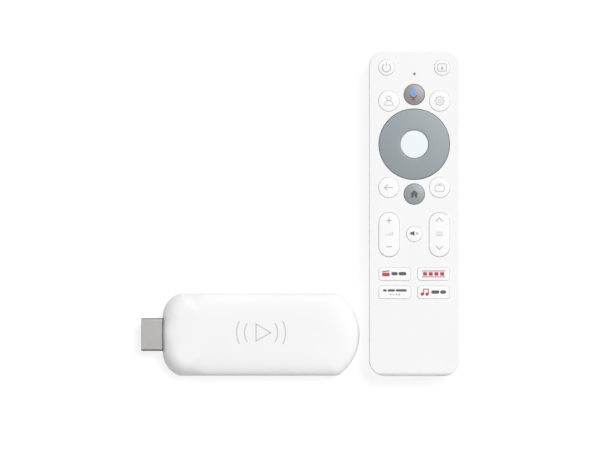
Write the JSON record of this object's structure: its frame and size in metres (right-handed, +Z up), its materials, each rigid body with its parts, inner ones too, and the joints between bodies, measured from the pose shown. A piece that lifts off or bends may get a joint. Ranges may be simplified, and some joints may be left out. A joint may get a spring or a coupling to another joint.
{
  "type": "streaming media player",
  "caption": "Stick-shaped streaming media player with a video plug at one end, and its slim hand-held remote with round keys, a direction ring and two rockers.",
  "frame": {"origin": "centre of the set's footprint on the surface that the stick and the remote lie on", "axes": "+X along the stick from its plug to its tail, +Y along the remote towards its infrared end, +Z up out of the two faces"},
  "size_m": [0.134, 0.137, 0.0187],
  "materials": {
    "white_casing": "satin white moulded plastic",
    "white_key": "satin white moulded key",
    "grey_key": "satin grey moulded key",
    "grey_ring": "satin grey-blue moulded ring",
    "plug_metal": "nickel-plated stamped steel",
    "black_plastic": "black moulded plastic",
    "gilt_contact": "gold-plated contact",
    "circuit_board": "green soldermask board",
    "chip_black": "black moulded chip package",
    "gap_pad": "soft silicone pad",
    "spreader_metal": "plain stamped aluminium",
    "shield_metal": "tin-plated stamped steel",
    "components": "brown and black small components",
    "light_clear": "clear moulded plastic",
    "screw_metal": "zinc-plated steel",
    "carbon_pad": "printed carbon",
    "silicone": "translucent grey silicone",
    "ir_dark": "dark infrared-passing plastic",
    "cell_jacket": "plain printed cell jacket",
    "spring_metal": "nickel-plated spring steel"
  },
  "bodies": {
    "stick": {"stick_top_shell": "white_casing", "stick_bottom_shell": "white_casing", "video_plug_shell": "plug_metal", "video_plug_insert": "black_plastic", "video_plug_contacts": "gilt_contact", "stick_circuit_board": "circuit_board", "main_processor": "chip_black", "memory_chips": "chip_black", "thermal_pad": "gap_pad", "heat_spreader": "spreader_metal", "radio_shield": "shield_metal", "stick_antennas": "gilt_contact", "power_components": "components", "power_socket_shell": "plug_metal", "power_socket_tongue": "black_plastic", "reset_switch": "chip_black", "status_light": "light_clear", "status_light_pipe": "light_clear", "stick_board_screws": "screw_metal"},
    "reset_button": {"reset_button": "white_casing"},
    "remote": {"remote_front_shell": "white_casing", "remote_rear_shell": "white_casing", "remote_circuit_board": "circuit_board", "key_contacts": "carbon_pad", "key_mat": "silicone", "remote_board_screws": "screw_metal", "infrared_window": "ir_dark", "infrared_led": "light_clear", "microphone": "shield_metal", "remote_radio_chip": "chip_black", "remote_components": "components", "battery_cells": "cell_jacket", "battery_springs": "spring_metal", "battery_plates": "spring_metal"},
    "battery_door": {"battery_door": "white_casing"},
    "ring_washer": {"ring_washer": "silicone"},
    "direction_ring": {"direction_ring": "grey_ring"},
    "power_key": {"power_key": "white_key"},
    "source_key": {"source_key": "white_key"},
    "profile_key": {"profile_key": "white_key"},
    "settings_key": {"settings_key": "white_key"},
    "select_key": {"select_key": "white_key"},
    "back_key": {"back_key": "white_key"},
    "guide_key": {"guide_key": "white_key"},
    "volume_rocker": {"volume_rocker": "white_key"},
    "mute_key": {"mute_key": "white_key"},
    "channel_rocker": {"channel_rocker": "white_key"},
    "shortcut_key_1": {"shortcut_key_1": "white_key"},
    "shortcut_key_2": {"shortcut_key_2": "white_key"},
    "shortcut_key_3": {"shortcut_key_3": "white_key"},
    "shortcut_key_4": {"shortcut_key_4": "white_key"},
    "voice_key": {"voice_key": "grey_key"},
    "home_key": {"home_key": "grey_key"}
  },
  "joints": [
    {"name": "remote_lift", "type": "slide", "parent": "stick", "child": "remote", "axis": [0, 0, 1], "range_m": [0, 0.06]},
    {"name": "reset_press", "type": "slide", "parent": "stick", "child": "reset_button", "axis": [0, -1, 0], "range_m": [0, 0.0003], "stiffness_N_per_m": 2000, "springref_m": -0.0002},
    {"name": "battery_door_slide", "type": "slide", "parent": "remote", "child": "battery_door", "axis": [0, -1, 0], "range_m": [0, 0.062]},
    {"name": "power_key_press", "type": "slide", "parent": "remote", "child": "power_key", "axis": [0, 0, -1], "range_m": [0, 0.0007], "stiffness_N_per_m": 1500, "springref_m": -0.0003},
    {"name": "source_key_press", "type": "slide", "parent": "remote", "child": "source_key", "axis": [0, 0, -1], "range_m": [0, 0.0007], "stiffness_N_per_m": 1500, "springref_m": -0.0003},
    {"name": "voice_key_press", "type": "slide", "parent": "remote", "child": "voice_key", "axis": [0, 0, -1], "range_m": [0, 0.0007], "stiffness_N_per_m": 1500, "springref_m": -0.0003},
    {"name": "profile_key_press", "type": "slide", "parent": "remote", "child": "profile_key", "axis": [0, 0, -1], "range_m": [0, 0.0007], "stiffness_N_per_m": 1500, "springref_m": -0.0003},
    {"name": "settings_key_press", "type": "slide", "parent": "remote", "child": "settings_key", "axis": [0, 0, -1], "range_m": [0, 0.0007], "stiffness_N_per_m": 1500, "springref_m": -0.0003},
    {"name": "select_key_press", "type": "slide", "parent": "remote", "child": "select_key", "axis": [0, 0, -1], "range_m": [0, 0.0007], "stiffness_N_per_m": 1500, "springref_m": -0.0003},
    {"name": "back_key_press", "type": "slide", "parent": "remote", "child": "back_key", "axis": [0, 0, -1], "range_m": [0, 0.0007], "stiffness_N_per_m": 1500, "springref_m": -0.0003},
    {"name": "guide_key_press", "type": "slide", "parent": "remote", "child": "guide_key", "axis": [0, 0, -1], "range_m": [0, 0.0007], "stiffness_N_per_m": 1500, "springref_m": -0.0003},
    {"name": "home_key_press", "type": "slide", "parent": "remote", "child": "home_key", "axis": [0, 0, -1], "range_m": [0, 0.0007], "stiffness_N_per_m": 1500, "springref_m": -0.0003},
    {"name": "mute_key_press", "type": "slide", "parent": "remote", "child": "mute_key", "axis": [0, 0, -1], "range_m": [0, 0.0007], "stiffness_N_per_m": 1500, "springref_m": -0.0003},
    {"name": "shortcut_key_1_press", "type": "slide", "parent": "remote", "child": "shortcut_key_1", "axis": [0, 0, -1], "range_m": [0, 0.0007], "stiffness_N_per_m": 1500, "springref_m": -0.0003},
    {"name": "shortcut_key_2_press", "type": "slide", "parent": "remote", "child": "shortcut_key_2", "axis": [0, 0, -1], "range_m": [0, 0.0007], "stiffness_N_per_m": 1500, "springref_m": -0.0003},
    {"name": "shortcut_key_3_press", "type": "slide", "parent": "remote", "child": "shortcut_key_3", "axis": [0, 0, -1], "range_m": [0, 0.0007], "stiffness_N_per_m": 1500, "springref_m": -0.0003},
    {"name": "shortcut_key_4_press", "type": "slide", "parent": "remote", "child": "shortcut_key_4", "axis": [0, 0, -1], "range_m": [0, 0.0007], "stiffness_N_per_m": 1500, "springref_m": -0.0003},
    {"name": "ring_tilt_up_down", "type": "hinge", "parent": "remote", "child": "ring_washer", "pos_m": [0.048, 0.0291, 0.0168], "axis": [1, 0, 0], "range_deg": [-1.8, 1.8], "stiffness_Nm_per_rad": 0.3},
    {"name": "ring_tilt_left_right", "type": "hinge", "parent": "ring_washer", "child": "direction_ring", "pos_m": [0.048, 0.0291, 0.0168], "axis": [0, 1, 0], "range_deg": [-1.8, 1.8], "stiffness_Nm_per_rad": 0.3},
    {"name": "volume_rocker_tilt", "type": "hinge", "parent": "remote", "child": "volume_rocker", "pos_m": [0.0374, -0.009, 0.01605], "axis": [1, 0, 0], "range_deg": [-3, 3], "stiffness_Nm_per_rad": 0.15},
    {"name": "channel_rocker_tilt", "type": "hinge", "parent": "remote", "child": "channel_rocker", "pos_m": [0.0586, -0.009, 0.01605], "axis": [1, 0, 0], "range_deg": [-3, 3], "stiffness_Nm_per_rad": 0.15}
  ]
}
